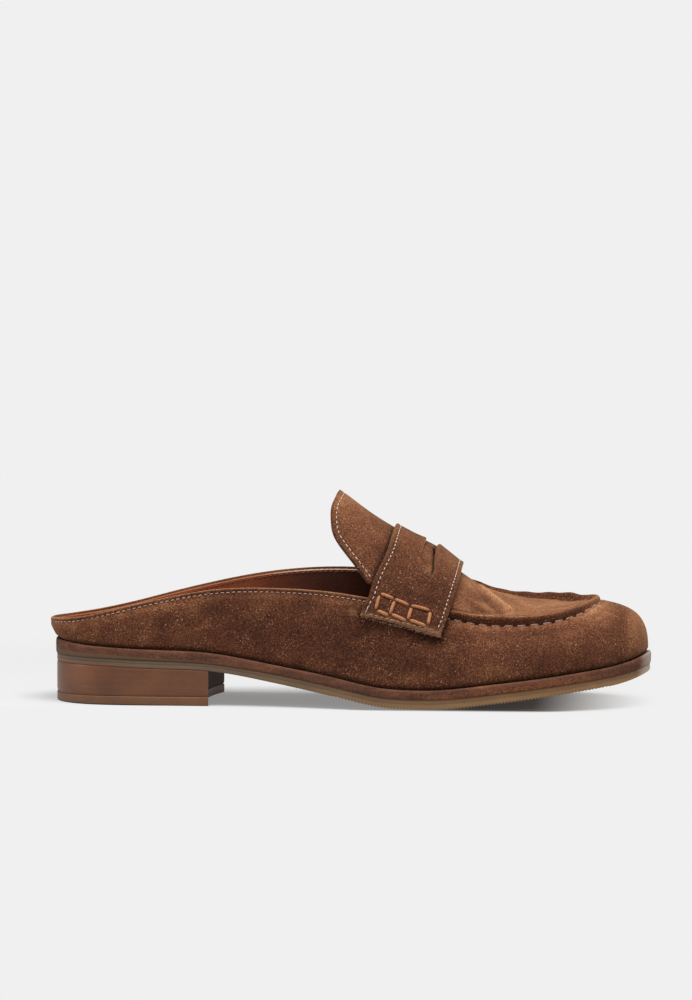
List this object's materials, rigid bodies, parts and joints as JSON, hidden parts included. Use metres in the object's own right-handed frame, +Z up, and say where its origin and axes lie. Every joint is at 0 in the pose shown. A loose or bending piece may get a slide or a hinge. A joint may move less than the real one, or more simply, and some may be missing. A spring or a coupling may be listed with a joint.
{
  "type": "backless penny loafer shoe",
  "caption": "Low-heeled backless penny loafer: hollow suede upper with raised seam, standing tongue and slotted strap on a rubber sole and stacked heel.",
  "frame": {"origin": "middle of the heel where it meets the floor", "axes": "+X to the toe, +Y to the inner side of the foot, +Z up; a shoe for the right foot"},
  "size_m": [0.2586, 0.088, 0.0907],
  "materials": {
    "outsole_rubber": "matt olive-brown crepe-like rubber with fine ribs along its lower edge",
    "welt_leather": "reddish-brown fibre board edge, mottled, slightly waxed",
    "heel_leather": "stacked leather with faint level layers, waxed to a satin gloss",
    "lift_rubber": "matt brown rubber top piece",
    "lining_leather": "smooth tan lining leather with a soft gloss",
    "suede": "brown suede with a short brushed nap, lighter where brushed, cream stitches"
  },
  "bodies": {
    "root": {"outsole": "outsole_rubber", "welt": "welt_leather", "heel_stack": "heel_leather", "heel_lift": "lift_rubber", "insole": "lining_leather", "upper": "suede", "tongue": "suede", "strap": "suede"}
  },
  "joints": []
}
